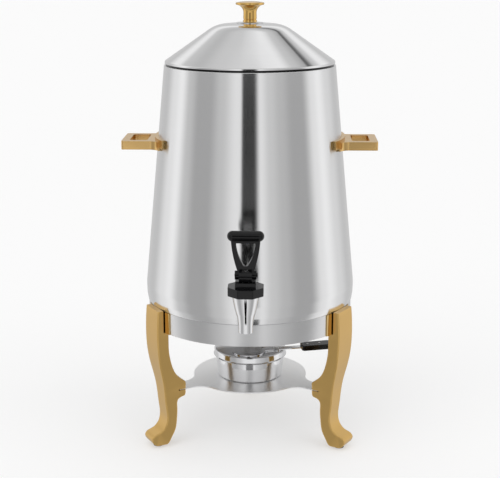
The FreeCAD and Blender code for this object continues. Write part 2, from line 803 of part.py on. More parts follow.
# Vessel: a spun and tapered shell, stepped in below the seam to drop into the ring.
taper = (d.vessel_wide_radius - d.vessel_top_radius) / (d.vessel_top_z - d.vessel_wide_z)
seam_z = ring_top_z + d.seam_gap
drop_radius = ring_inner_radius - d.skirt_clearance
drop_inner = drop_radius - d.vessel_wall
wall = d.vessel_wall
vessel = turned("vessel_shell", [
    (d.vessel_top_radius, d.vessel_top_z),
    (d.vessel_top_radius - d.vessel_lip_width, d.vessel_top_z),
    (d.vessel_top_radius - d.vessel_lip_width, d.vessel_top_z - d.vessel_lip_depth),
    (d.vessel_top_radius - wall + taper * d.vessel_lip_depth,
     d.vessel_top_z - d.vessel_lip_depth),
    (d.vessel_wide_radius - wall, d.vessel_wide_z),
    ("by", d.vessel_wide_radius - wall + 0.1, (d.vessel_wide_z + seam_z) / 2),
    (d.vessel_seam_radius - wall, seam_z + wall), (drop_inner, seam_z + wall),
    (drop_inner, d.seat_z + wall), (drop_inner - 6, d.seat_z + wall),
    (drop_inner - 6, d.seat_z), (drop_radius, d.seat_z), (drop_radius, seam_z),
    (d.vessel_seam_radius, seam_z),
    ("by", d.vessel_wide_radius + 0.1, (d.vessel_wide_z + seam_z) / 2),
    (d.vessel_wide_radius, d.vessel_wide_z)])

base_radius = drop_inner - 0.3
base_z = d.seat_z + wall
turned("vessel_base", [
    (0, base_z + 2), (d.vessel_top_radius * 0.6, base_z + 2),
    (d.vessel_top_radius * 0.6 + 4, base_z), (base_radius, base_z),
    (base_radius, base_z + d.base_lip_height),
    (base_radius - d.base_thickness, base_z + d.base_lip_height),
    (base_radius - d.base_thickness, base_z + d.base_thickness),
    (d.vessel_top_radius * 0.6 + 4.4, base_z + d.base_thickness),
    (d.vessel_top_radius * 0.6 + 0.4, base_z + 2 + d.base_thickness),
    (0, base_z + 2 + d.base_thickness)])


def wall_radius(height):
    """Outer radius of the tapered wall at a height."""
    return d.vessel_wide_radius - taper * (Size.of(height) - d.vessel_wide_z)


# Handles: cast loops on curved feet, each held by two screws from inside the wall.
handle_bottom_z = d.handle_top_z - d.handle_height
handle_mid_z = d.handle_top_z - d.handle_height / 2
handle_wall = wall_radius(handle_bottom_z) + d.wall_play
half_handle = d.handle_width / 2
handle_reach = wall_radius(handle_mid_z) + d.handle_length
foot_outer = wall_radius(handle_mid_z) + d.handle_foot_thickness
flare_x = foot_outer * cosine(d.handle_flare_angle)
flare_y = foot_outer * sine(d.handle_flare_angle)
inside_wall = wall_radius(d.handle_top_z) - 8
flare_back_x = inside_wall * cosine(d.handle_flare_angle)
flare_back_y = inside_wall * sine(d.handle_flare_angle)
neck_x = handle_wall + 3.0
round_off = d.handle_corner * 0.293
window_low_x = handle_wall + d.handle_neck
window_high_x = handle_reach - d.handle_bar
window_half = half_handle - d.handle_bar
wall_lean = Size(math.degrees(math.atan(taper.number)), "0")


def handle_outline():
    """Plan outline of a handle, foot to foot round the loop."""
    reach, corner = handle_reach, d.handle_corner
    side = [(flare_back_x, -flare_back_y), (flare_x, -flare_y),
            ("by", neck_x - 2.2, -half_handle - 2.3), (neck_x + 4, -half_handle),
            (reach - corner, -half_handle),
            ("by", reach - round_off, round_off - half_handle),
            (reach, corner - half_handle)]
    back = [(reach, half_handle - corner),
            ("by", reach - round_off, half_handle - round_off),
            (reach - corner, half_handle), (neck_x + 4, half_handle),
            ("by", neck_x - 2.2, half_handle + 2.3), (flare_x, flare_y),
            (flare_back_x, flare_back_y)]
    return side + back


def window_outline():
    """Finger opening inside the loop, with rounded corners."""
    low, high, half, r = window_low_x, window_high_x, window_half, d.handle_corner
    k = r * 0.293
    return [(low + r, -half), (high - r, -half), ("by", high - k, k - half), (high, r - half),
            (high, half - r), ("by", high - k, half - k), (high - r, half), (low + r, half),
            ("by", low + k, half - k), (low, half - r), (low, r - half),
            ("by", low + k, k - half)]


def handle(name, turn):
    """One handle, built on the +X side and turned to its own side."""
    body = new_body(name)
    add_pad(body, "XY_Plane", d.handle_height, [handle_outline(), window_outline()])
    add_turn(body, ring_outline(inside_wall, foot_outer, d.handle_foot_rise,
                                d.handle_height + d.handle_foot_rise),
             d.handle_foot_angle * 2, middle=True)
    low, high = -5, d.handle_height + d.handle_foot_rise + 5
    seat = [(0, low), (handle_wall - taper * low, low), (handle_wall - taper * high, high),
            (0, high)]
    cut_turn(body, seat)
    for side in (-1, 1):
        hole = rod(body, "Subtractive", d.screw_radius + d.pin_play, handle_bite + 10.5, (0, 0, 0))
        radial_place(hole, side * d.handle_screw_angle, wall_radius(handle_mid_z), 0,
                     d.handle_height / 2, wall_lean, -10)
    place(body, z=handle_bottom_z, angle=turn)
    return body


handle_bite = Size.of(8.0)
right_handle = handle("right_handle", 0)
left_handle = handle("left_handle", 180)

handle_screws = []
handle_washers = []
washer_thickness = Size.of(1.5)
washer_radius = Size.of(6.0)
screw_seat = -wall - 0.25 - washer_thickness
for turn in (0, 180):
    for side in (-1, 1):
        axis = (turn + side * d.handle_screw_angle, wall_radius(handle_mid_z), 0, handle_mid_z,
                wall_lean)
        hole = rod(vessel, "Subtractive", leg_screw_hole, 20, (0, 0, 0))
        radial_place(hole, *axis, -10)
        piece = screw("handle_screw", d.screw_radius, d.screw_head_radius,
                      d.screw_head_height, handle_bite - screw_seat)
        handle_screws.append(radial_place(piece, *axis, screw_seat))
        outer = doc.addObject("Part::Cylinder", "washer_disc")
        bind(outer, "Radius", washer_radius)
        bind(outer, "Height", washer_thickness)
        inner = doc.addObject("Part::Cylinder", "washer_hole")
        bind(inner, "Radius", leg_screw_hole)
        bind(inner, "Height", washer_thickness)
        washer = doc.addObject("Part::Cut", "handle_washer")
        washer.Base = outer
        washer.Tool = inner
        handle_washers.append(radial_place(washer, *axis, screw_seat))
group("handle_screws", handle_screws)
group("handle_washers", handle_washers)


# Tap: a plated casting on a threaded shank that is nutted through the vessel wall.
tap_y = -d.tap_reach
inlet_wall = wall_radius(d.tap_inlet_z)
flange_y = inlet_wall + d.flange_gap
shank_hole = d.shank_radius + d.screw_hole_play
rod(vessel, "Subtractive", shank_hole, 30, (0, 15 - inlet_wall, d.tap_inlet_z), **ALONG_MINUS_Y)

tap_body = turned("tap_body", [
    (d.tap_bore_radius, d.tap_outlet_z), (d.tap_outlet_radius - 0.5, d.tap_outlet_z),
    (d.tap_outlet_radius, d.tap_outlet_z + 0.5), (d.tap_outlet_radius, d.tap_outlet_z + 6),
    ("by", d.tap_waist_radius - 0.2, d.tap_outlet_z + 14),
    (d.tap_waist_radius + 2.4, d.tap_outlet_z + 24.5),
    ("by", d.tap_top_radius - 1.5, d.tap_outlet_z + 37),
    (d.tap_top_radius, d.bonnet_bottom_z - 1), (d.tap_top_radius, d.tap_top_z),
    (d.tap_chamber_radius, d.tap_top_z), (d.tap_chamber_radius, d.tap_outlet_z + 35),
    (d.tap_bore_radius + 3, d.tap_outlet_z + 29), (d.tap_bore_radius, d.tap_outlet_z + 24)])
barrel_start = d.tap_reach - d.tap_chamber_radius - 1.2
rod(tap_body, "Additive", d.barrel_radius, barrel_start - flange_y,
    (0, d.tap_chamber_radius + 1.2, d.tap_inlet_z), **ALONG_PLUS_Y)
rod(tap_body, "Additive", d.flange_radius, d.flange_thickness,
    (0, d.tap_reach - flange_y - d.flange_thickness, d.tap_inlet_z), **ALONG_PLUS_Y)
rod(tap_body, "Subtractive", d.shank_bore, 40, (0, 0, d.tap_inlet_z), **ALONG_PLUS_Y)
shank_inside = Size.of(14.0)
rod(tap_body, "Subtractive", d.shank_radius + d.pin_play, shank_inside + 10,
    (0, d.tap_reach - flange_y - shank_inside, d.tap_inlet_z), **ALONG_PLUS_Y)
place(tap_body, y=tap_y)

shank_length = shank_inside + d.flange_gap + 16
tap_shank = turned("tap_shank", ring_outline(d.shank_bore, d.shank_radius, 0, shank_length))
place(tap_shank, 0, -flange_y - shank_inside + 0.2, d.tap_inlet_z, axis=X_AXIS, angle=-90)


def wall_cut(body, height, offset, outside):
    """Cut a body to the wall's cone; the body's origin is at the given height."""
    low, high = -30, 30
    near = wall_radius(height) + offset
    line = [(near - taper * low, low), (near - taper * high, high)]
    far = d.tap_reach * 2 if outside else Size.of(0.0)
    cut_turn(body, [line[0], (far, low), (far, high), line[1]])


tap_gasket = new_body("tap_gasket")
rod(tap_gasket, "Additive", d.flange_radius + 1, 12, (0, -flange_y, 0), **ALONG_PLUS_Y)
rod(tap_gasket, "Subtractive", shank_hole, 40, (0, -flange_y - 5, 0), **ALONG_PLUS_Y)
wall_cut(tap_gasket, d.tap_inlet_z, d.wall_play, outside=False)
place(tap_gasket, z=d.tap_inlet_z)

washer_face = inlet_wall - wall - 4.0
inner_washer = new_body("tap_washer")
rod(inner_washer, "Additive", d.flange_radius + 1, 12, (0, -washer_face, 0), **ALONG_MINUS_Y)
rod(inner_washer, "Subtractive", shank_hole, 40, (0, 10 - washer_face, 0), **ALONG_MINUS_Y)
wall_cut(inner_washer, d.tap_inlet_z, -wall - d.wall_play, outside=True)
place(inner_washer, z=d.tap_inlet_z)


def polygon(sides, flat_radius, turn=0.0):
    """Corners of a regular polygon with a given distance from centre to flat."""
    step = 360.0 / sides
    corner = Size.of(flat_radius) / math.cos(math.radians(step / 2))
    return [(corner * cosine(turn + step * number), corner * sine(turn + step * number))
            for number in range(sides)]


tap_nut = new_body("tap_nut")
add_pad(tap_nut, "XY_Plane", d.nut_thickness, [polygon(6, d.nut_width / 2)],
        [(0, 0, d.shank_radius + d.pin_play)])
place(tap_nut, 0, -washer_face, d.tap_inlet_z, axis=X_AXIS, angle=-90)

bonnet = new_body("tap_bonnet")
bonnet_height = d.bonnet_top_z - d.bonnet_bottom_z
add_pad(bonnet, "XY_Plane", bonnet_height, [polygon(8, d.bonnet_radius * 0.955, 22.5)])
half_pedestal = d.pedestal_width / 2
block(bonnet, "Additive", (-half_pedestal, -half_pedestal, bonnet_height - 1),
      (half_pedestal, half_pedestal, bonnet_height + d.pedestal_height))
rod(bonnet, "Subtractive", d.tap_top_radius + 0.2,
    d.tap_top_z - d.bonnet_bottom_z + 10.2, (0, 0, -10))
rod(bonnet, "Subtractive", d.stem_radius + d.pin_play, 40, (0, 0, 0))
place(bonnet, y=tap_y, z=d.bonnet_bottom_z)


# Stem group: rod, silicone seat cup, return spring, lever and its pin.
stem_top = d.pivot_z + d.stem_radius + 1.0 - d.stem_bottom_z
tap_stem = turned("tap_stem", [
    (0, 0), (d.stem_radius, 0), (d.stem_radius, stem_top - 1), (d.stem_radius - 1, stem_top),
    (0, stem_top)])
rod(tap_stem, "Subtractive", d.lever_pin_radius + 0.02, 20,
    (-10, 0, d.pivot_z - d.stem_bottom_z), **ALONG_X)
place(tap_stem, 0, tap_y, d.stem_bottom_z)

cup_low = d.tap_outlet_z + 24
cup_bore = d.stem_radius + 0.05
turned_cup = turned("seat_cup", [
    (0, 0.6), (d.tap_bore_radius - 1, 0.6), (d.tap_bore_radius + 2.6, 6.6),
    (d.tap_bore_radius + 2.6, 11), (cup_bore, 11), (cup_bore, 4.8), (0, 4.8)])
place(turned_cup, 0, tap_y, cup_low)

spring_low = d.tap_outlet_z + 24 + 11 + d.spring_wire_radius + 0.15
spring_high = d.tap_top_z + 0.2 - d.spring_wire_radius - 0.15
helix = doc.addObject("Part::Helix", "spring_path")
bind(helix, "Radius", d.spring_radius)
bind(helix, "Pitch", d.spring_pitch)
bind(helix, "Height", spring_high - spring_low)
wire_section = doc.addObject("Part::Circle", "spring_section")
bind(wire_section, "Radius", d.spring_wire_radius)
place(wire_section, x=d.spring_radius, axis=X_AXIS, angle=90)
spring = doc.addObject("Part::Sweep", "tap_spring")
spring.Label = "tap_spring"
spring.Sections = [wire_section]
spring.Spine = (helix, ["Edge1"])
spring.Solid = True
spring.Frenet = True
place(spring, 0, tap_y, spring_low)

lever = new_body("tap_lever")
arm_top = d.lever_height - d.grip_bar_radius * 0.3
add_pad(lever, "XZ_Plane", d.lever_depth, [
    [(-9.2, 4), (9.2, 4), ("by", 14.6, 23), (17.6, arm_top), (-17.6, arm_top),
     ("by", -14.6, 23)],
    [(-3.6, 14.4), ("by", 0, 11.4), (3.6, 14.4), ("by", 9, 25.5),
     (11.6, d.lever_height - d.grip_bar_radius - 1.6),
     (-11.6, d.lever_height - d.grip_bar_radius - 1.6), ("by", -9, 25.5)]], middle=True)
half_bar = d.grip_bar_length / 2 - d.grip_bar_radius
rod(lever, "Additive", d.grip_bar_radius, half_bar * 2, (-half_bar, 0, d.lever_height), **ALONG_X)
for side in (-1, 1):
    end = lever.newObject("PartDesign::AdditiveSphere", "lever_end")
    bind(end, "Radius", d.grip_bar_radius)
    place(end, half_bar * side, 0, d.lever_height)
half_hub = d.hub_width / 2
half_heel = d.heel_width / 2
heel_y = -d.heel_offset
rod(lever, "Additive", d.hub_radius - 1.2, half_hub * 2, (-half_hub, 0, 0), **ALONG_X)
rod(lever, "Additive", d.hub_radius, half_heel * 2, (-half_heel, heel_y, 0), **ALONG_X)
block(lever, "Additive", (-half_heel, heel_y, -d.hub_radius + 1.2), (half_heel, 3.4, d.hub_radius))
block(lever, "Subtractive", (-d.stem_radius - 0.3, heel_y - 0.5, -12),
      (d.stem_radius + 0.3, 12, d.stem_radius + 4.6))
rod(lever, "Subtractive", d.lever_pin_radius + d.pin_play, 60, (-30, 0, 0), **ALONG_X)
place(lever, 0, tap_y, d.pivot_z)

lever_pin = turned("lever_pin", [
    (0, -half_hub - 0.4), (d.lever_pin_radius, -half_hub - 0.4),
    (d.lever_pin_radius, half_hub + 0.1), (3.2, half_hub + 0.1), (2.6, half_hub + 1.3),
    (0, half_hub + 1.6)])
place(lever_pin, 0, tap_y, d.pivot_z, **ALONG_X)


# Lid: a spun cone with a flat crown, a guide ring below it and a turned knob.
lid_wall = d.lid_wall
lid_rim_radius = d.vessel_top_radius - d.lid_rim_inset
rim_z = d.vessel_top_z
rim_top_z = rim_z + d.lid_rim_height
knob_hole = d.screw_radius + d.screw_hole_play
turned("lid_shell", [
    (lid_rim_radius, rim_z), (lid_rim_radius, rim_top_z),
    ("by", lid_rim_radius - 0.5, rim_top_z + 1.0), (lid_rim_radius - 1.8, rim_top_z + 1.7),
    (d.lid_cone_top_radius, d.lid_cone_top_z),
    ("by", d.lid_cone_top_radius - 4, d.lid_cone_top_z + 3.4),
    (d.lid_cone_top_radius - 9, d.lid_crown_z - 2.6), (knob_hole, d.lid_crown_z),
    (knob_hole, d.lid_crown_z - lid_wall),
    (d.lid_cone_top_radius - 9, d.lid_crown_z - 2.6 - lid_wall),
    ("by", d.lid_cone_top_radius - 4.8, d.lid_cone_top_z + 2.6),
    (d.lid_cone_top_radius - lid_wall, d.lid_cone_top_z - lid_wall),
    (lid_rim_radius - 1.2, rim_top_z - 0.4), (lid_rim_radius - 1.2, rim_z)])

guide_radius = d.vessel_top_radius - d.vessel_lip_width - d.lid_guide_clearance
turned("lid_guide", [
    (guide_radius - lid_wall, rim_z - d.lid_guide_depth),
    (guide_radius, rim_z - d.lid_guide_depth), (guide_radius, rim_z + 2.4),
    (lid_rim_radius - 1.4, rim_z + 2.4), (lid_rim_radius - 1.4, rim_z + 3.4),
    (guide_radius - lid_wall, rim_z + 3.4)])

washer_z = d.lid_crown_z
turned("knob_washer", [
    (knob_hole, washer_z), (d.knob_washer_radius, washer_z - 0.75),
    (d.knob_washer_radius, washer_z - 0.75 + d.knob_washer_thickness),
    (knob_hole, washer_z + d.knob_washer_thickness)])

knob_base_z = washer_z + d.knob_washer_thickness
neck = d.knob_neck_radius
knob_top_z = knob_base_z + d.knob_height
turned("lid_knob", [
    (0, knob_base_z + 12), (d.screw_radius + 0.1, knob_base_z + 12),
    (d.screw_radius + 0.1, knob_base_z), (neck + 0.3, knob_base_z),
    (neck + 0.3, knob_base_z + 2.2), (neck - 0.7, knob_base_z + 2.6),
    (neck - 0.7, knob_base_z + 3.4), (neck, knob_base_z + 3.8),
    (neck - 0.2, knob_base_z + 11), ("by", neck + 2.0, knob_top_z - 8.2),
    (d.knob_radius - 0.6, knob_top_z - 4.4), ("by", d.knob_radius, knob_top_z - 3.0),
    (d.knob_radius - 0.6, knob_top_z - 1.5), ("by", neck + 3, knob_top_z - 0.5),
    (4, knob_top_z), (0, knob_top_z)])

knob_screw = screw("knob_screw", d.screw_radius, d.screw_head_radius, d.screw_head_height, 12)
knob_screw.Label = "knob_screw"
place(knob_screw, z=d.lid_crown_z - lid_wall - 0.15)


# Rebuild, check every object, then write one file for each node.
doc.recompute()
for thing in doc.Objects:
    for flag in ("Invalid", "Error"):
        if flag in thing.State:
            raise RuntimeError(f"{thing.Name} is {flag}: {thing.getStatusString()}")

inside = set()
for thing in doc.Objects:
    if thing.TypeId in ("Part::Fuse", "Part::Cut"):
        inside.update((thing.Base.Name, thing.Tool.Name))
    if thing.TypeId == "Part::Compound":
        inside.update(link.Name for link in thing.Links)
    if thing.TypeId == "Part::Sweep":
        inside.update(("spring_path", "spring_section"))
SUB_PARTS = ("PartDesign::Body", "Part::Feature", "Part::Fuse", "Part::Cut",
             "Part::Compound", "Part::Sweep")
nodes = [thing for thing in doc.Objects
         if thing.TypeId in SUB_PARTS and thing.Name not in inside]
for node in nodes:
    shape = node.Shape
    if shape.isNull() or not shape.isValid():
        raise RuntimeError(f"{node.Label} has no valid shape")
    volume = shape.Volume / 1000
    print(f"{node.Label}: {len(shape.Solids)} solids, {volume:.2f} cm3")
    shape.exportStep(f"parts/{node.Label}.step")
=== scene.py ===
"""Coffee urn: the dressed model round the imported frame, with its studio, floor and camera.

Metres, in the frame of the solids: +Z up the vessel's axis, the tap towards -Y, the handles
along X. Sizes are written in millimetres times MM where they repeat a drawn size.
"""
import math

import bmesh
import bpy
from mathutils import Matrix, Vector


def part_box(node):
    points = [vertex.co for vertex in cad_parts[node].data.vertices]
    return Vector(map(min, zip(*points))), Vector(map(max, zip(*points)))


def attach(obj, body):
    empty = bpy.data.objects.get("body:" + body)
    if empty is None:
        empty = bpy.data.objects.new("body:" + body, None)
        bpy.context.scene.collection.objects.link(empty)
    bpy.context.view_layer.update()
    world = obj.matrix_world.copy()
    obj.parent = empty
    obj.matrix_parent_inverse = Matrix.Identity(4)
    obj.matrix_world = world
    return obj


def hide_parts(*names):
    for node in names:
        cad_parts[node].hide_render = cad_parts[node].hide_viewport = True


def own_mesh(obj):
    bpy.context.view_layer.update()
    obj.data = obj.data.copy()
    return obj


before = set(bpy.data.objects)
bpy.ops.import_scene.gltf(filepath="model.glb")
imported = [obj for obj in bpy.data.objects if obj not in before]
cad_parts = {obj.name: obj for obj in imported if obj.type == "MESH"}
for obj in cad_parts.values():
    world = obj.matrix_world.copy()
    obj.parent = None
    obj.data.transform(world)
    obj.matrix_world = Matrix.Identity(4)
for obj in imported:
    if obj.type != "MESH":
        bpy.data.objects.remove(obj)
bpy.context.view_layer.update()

MM = 0.001


# Ring of the stand: a satin steel band, rolled and butt welded, that the vessel drops into.
# Its edges are turned over a little, so the profile has a small radius at every corner.
RING_OUTER = 136.0
RING_INNER = 134.5
RING_BOTTOM = 162.0
RING_TOP = 190.5


def bent_corner(before, corner, after, radius, steps=5):
    """Points of the arc that rounds one corner of a profile."""
    here = Vector(corner)
    back = Vector(before) - here
    ahead = Vector(after) - here
    half = back.angle(ahead) / 2
    if radius <= 0 or abs(half - math.pi / 2) < 0.01:
        return [here]
    cut = min(radius / math.tan(half), back.length * 0.45, ahead.length * 0.45)
    start = here + back.normalized() * cut
    stop = here + ahead.normalized() * cut
    points = []
    for number in range(steps + 1):
        share = number / steps
        points.append(start * (1 - share) ** 2 + here * 2 * share * (1 - share)
                      + stop * share ** 2)
    return points


def spun_shape(name, corners, body, node, turns=224):
    """A closed profile of (radius, height, corner radius) in mm, spun round the urn's axis."""
    flat = [(radius, height) for radius, height, _ in corners]
    profile = []
    for number, (radius, height, bend) in enumerate(corners):
        after = flat[(number + 1) % len(flat)]
        profile += bent_corner(flat[number - 1], (radius, height), after, bend)
    mesh = bpy.data.meshes.new(name)
    build = bmesh.new()
    rows = []
    for turn in range(turns):
        angle = 2 * math.pi * turn / turns
        rows.append([build.verts.new((point.x * math.cos(angle) * MM,
                                      point.x * math.sin(angle) * MM,
                                      point.y * MM)) for point in profile])
    for turn in range(turns):
        here, beside = rows[turn], rows[(turn + 1) % turns]
        for step in range(len(profile)):
            after = (step + 1) % len(profile)
            build.faces.new((here[step], beside[step], beside[after], here[after]))
    bmesh.ops.remove_doubles(build, verts=build.verts, dist=1e-6)
    bmesh.ops.recalc_face_normals(build, faces=build.faces)
    build.to_mesh(mesh)
    build.free()
    mesh.shade_smooth()
    mesh.set_sharp_from_angle(angle=math.radians(32))
    piece = bpy.data.objects.new(name, mesh)
    bpy.context.scene.collection.objects.link(piece)
    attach(piece, body)
    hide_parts(node)
    return piece


WELD_HALF_WIDTH = 1.8
WELD_CORE = 0.6
WELD_DULLNESS = 0.22


def metal_sheet(name, colour, roughness, streaks, stretch=0.0, seam=False):
    """Turned or rolled sheet: grain runs round the axis and spreads highlights up and down.

    A seam is the duller line of the butt weld, up the back of the sheet.
    """
    material = bpy.data.materials.new(name)
    material.use_nodes = True
    nodes, links = material.node_tree.nodes, material.node_tree.links
    shader = nodes["Principled BSDF"]
    shader.inputs["Metallic"].default_value = 1.0
    shader.inputs["Anisotropic"].default_value = stretch
    shader.inputs["Anisotropic Rotation"].default_value = 0.25
    places = nodes.new("ShaderNodeTexCoord")
    if stretch:
        tangent = nodes.new("ShaderNodeTangent")
        tangent.direction_type = "RADIAL"
        tangent.axis = "Z"
        links.new(tangent.outputs["Tangent"], shader.inputs["Tangent"])
    squeeze = nodes.new("ShaderNodeMapping")
    squeeze.inputs["Scale"].default_value = (4, 4, 900)
    grain = nodes.new("ShaderNodeTexNoise")
    grain.inputs["Scale"].default_value = 1.6
    grain.inputs["Detail"].default_value = 3.0
    links.new(places.outputs["Object"], squeeze.inputs["Vector"])
    links.new(squeeze.outputs["Vector"], grain.inputs["Vector"])
    cloud = nodes.new("ShaderNodeTexNoise")
    cloud.inputs["Scale"].default_value = 14.0
    links.new(places.outputs["Object"], cloud.inputs["Vector"])
    worn = nodes.new("ShaderNodeMapRange")
    worn.inputs["To Min"].default_value = roughness * (1 - streaks)
    worn.inputs["To Max"].default_value = roughness * (1 + streaks)
    blend = nodes.new("ShaderNodeMix")
    blend.inputs["Factor"].default_value = 0.4
    links.new(grain.outputs["Fac"], blend.inputs["A"])
    links.new(cloud.outputs["Fac"], blend.inputs["B"])
    links.new(blend.outputs["Result"], worn.inputs["Value"])
    tint = nodes.new("ShaderNodeMix")
    tint.data_type = "RGBA"
    tint.inputs["A"].default_value = (*[part * 0.975 for part in colour], 1)
    tint.inputs["B"].default_value = (*[min(part * 1.025, 1) for part in colour], 1)
    links.new(grain.outputs["Fac"], tint.inputs["Factor"])
    links.new(tint.outputs["Result"], shader.inputs["Base Color"])
    relief = nodes.new("ShaderNodeBump")
    relief.inputs["Strength"].default_value = 0.05
    relief.inputs["Distance"].default_value = 0.00002
    links.new(grain.outputs["Fac"], relief.inputs["Height"])
    links.new(relief.outputs["Normal"], shader.inputs["Normal"])
    if not seam:
        links.new(worn.outputs["Result"], shader.inputs["Roughness"])
        return material
    split = nodes.new("ShaderNodeSeparateXYZ")
    links.new(places.outputs["Object"], split.inputs["Vector"])
    aside = nodes.new("ShaderNodeMath")
    aside.operation = "ABSOLUTE"
    links.new(split.outputs["X"], aside.inputs[0])
    line = nodes.new("ShaderNodeMapRange")
    line.inputs["From Min"].default_value = WELD_HALF_WIDTH * MM
    line.inputs["From Max"].default_value = WELD_CORE * MM
    links.new(aside.outputs[0], line.inputs["Value"])
    behind = nodes.new("ShaderNodeMath")
    behind.operation = "GREATER_THAN"
    behind.inputs[1].default_value = 0.0
    links.new(split.outputs["Y"], behind.inputs[0])
    weld = nodes.new("ShaderNodeMath")
    weld.operation = "MULTIPLY"
    links.new(line.outputs["Result"], weld.inputs[0])
    links.new(behind.outputs[0], weld.inputs[1])
    dull = nodes.new("ShaderNodeMath")
    dull.operation = "MULTIPLY_ADD"
    dull.inputs[1].default_value = WELD_DULLNESS
    links.new(weld.outputs[0], dull.inputs[0])
    links.new(worn.outputs["Result"], dull.inputs[2])
    links.new(dull.outputs[0], shader.inputs["Roughness"])
    return material


def paint(piece, material):
    """Gives every material place of a piece one material."""
    if not piece.material_slots:
        piece.data.materials.append(material)
    for place in piece.material_slots:
        place.material = material


satin_steel = metal_sheet("satin_steel", (0.71, 0.71, 0.715), 0.30, 0.2, stretch=0.75, seam=True)
ring_band = spun_shape("ring_band", [
    (RING_INNER, RING_BOTTOM, 0.5), (RING_OUTER, RING_BOTTOM, 0.7),
    (RING_OUTER, RING_TOP, 0.5), (RING_INNER, RING_TOP, 0.5)],
    "stand", "ring_skirt")
paint(ring_band, satin_steel)
for node in ("seat_ring", "vessel_base", "lid_guide"):
    paint(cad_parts[node], satin_steel)


# Legs: gravity castings with a curled foot, shot blasted and coated in satin gold.
# The coating keeps a faint cast texture, and its colour is painted lighter along its edges as a
# painted highlight.
def cast_gold(name, colour, roughness, texture):
    """Coated casting: soft unevenness, fine blast texture and a painted highlight on sharp edges.
    """
    material = bpy.data.materials.new(name)
    material.use_nodes = True
    nodes, links = material.node_tree.nodes, material.node_tree.links
    shader = nodes["Principled BSDF"]
    shader.inputs["Metallic"].default_value = 1.0
    places = nodes.new("ShaderNodeTexCoord")
    blast = nodes.new("ShaderNodeTexNoise")
    blast.inputs["Scale"].default_value = 900.0
    blast.inputs["Detail"].default_value = 4.0
    links.new(places.outputs["Object"], blast.inputs["Vector"])
    cloud = nodes.new("ShaderNodeTexNoise")
    cloud.inputs["Scale"].default_value = 22.0
    cloud.inputs["Detail"].default_value = 3.0
    links.new(places.outputs["Object"], cloud.inputs["Vector"])
    # Painted highlight: the colour is lightened by up to a quarter where the surface bends
    # sharply outwards.
    bend = nodes.new("ShaderNodeNewGeometry")
    edge_highlight_share = nodes.new("ShaderNodeMapRange")
    edge_highlight_share.inputs["From Min"].default_value = 0.52
    edge_highlight_share.inputs["From Max"].default_value = 0.62
    edge_highlight_share.inputs["To Max"].default_value = 0.5
    links.new(bend.outputs["Pointiness"], edge_highlight_share.inputs["Value"])
    tint = nodes.new("ShaderNodeMix")
    tint.data_type = "RGBA"
    tint.inputs["A"].default_value = (*[part * 0.95 for part in colour], 1)
    tint.inputs["B"].default_value = (*[min(part * 1.05, 1) for part in colour], 1)
    links.new(cloud.outputs["Fac"], tint.inputs["Factor"])
    painted_edge_highlight = nodes.new("ShaderNodeMix")
    painted_edge_highlight.data_type = "RGBA"
    painted_edge_highlight.inputs["B"].default_value = (*[min(part * 1.25, 1) for part in colour], 1)
    links.new(edge_highlight_share.outputs["Result"], painted_edge_highlight.inputs["Factor"])
    links.new(tint.outputs["Result"], painted_edge_highlight.inputs["A"])
    links.new(painted_edge_highlight.outputs["Result"], shader.inputs["Base Color"])
    worn = nodes.new("ShaderNodeMapRange")
    worn.inputs["To Min"].default_value = roughness * 0.85
    worn.inputs["To Max"].default_value = roughness * 1.15
    links.new(cloud.outputs["Fac"], worn.inputs["Value"])
    links.new(worn.outputs["Result"], shader.inputs["Roughness"])
    relief = nodes.new("ShaderNodeBump")
    relief.inputs["Strength"].default_value = texture
    relief.inputs["Distance"].default_value = 0.0001
    links.new(blast.outputs["Fac"], relief.inputs["Height"])
    links.new(relief.outputs["Normal"], shader.inputs["Normal"])
    return material


satin_gold = cast_gold("satin_gold", (0.70, 0.45, 0.155), 0.30, 0.22)
for side in ("left", "right", "rear"):
    paint(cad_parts[f"{side}_leg"], satin_gold)


# Saddles: thin plates bent round the ring, one between the ring and each leg's head.
# They are polished and gold plated, so they mirror the leg in front of them.
saddle_gold = cast_gold("saddle_gold", (0.52, 0.36, 0.15), 0.08, 0.02)
for side in ("left", "right", "rear"):
    paint(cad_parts[f"{side}_saddle"], saddle_gold)


